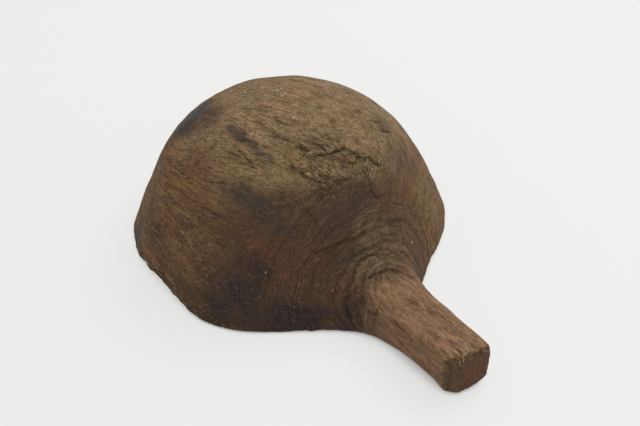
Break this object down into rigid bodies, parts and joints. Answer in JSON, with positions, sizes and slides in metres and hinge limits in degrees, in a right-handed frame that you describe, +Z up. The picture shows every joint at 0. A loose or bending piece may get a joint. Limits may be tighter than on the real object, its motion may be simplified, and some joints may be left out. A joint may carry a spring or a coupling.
{
  "type": "wooden ladle",
  "caption": "Deep round scoop bowl and short square tapering handle carved from one block of wood, stored mouth down.",
  "frame": {"origin": "on the floor under the middle of the whole ladle, in the plane of the bowl's mouth", "axes": "+X from the bowl towards the end of the handle, +Z up from the mouth to the bowl's crown, +Y to the left of the handle seen from above"},
  "size_m": [0.332, 0.243, 0.12],
  "materials": {
    "wood": "weathered, unvarnished, dull"
  },
  "bodies": {
    "root": {"ladle": "wood"}
  },
  "joints": []
}
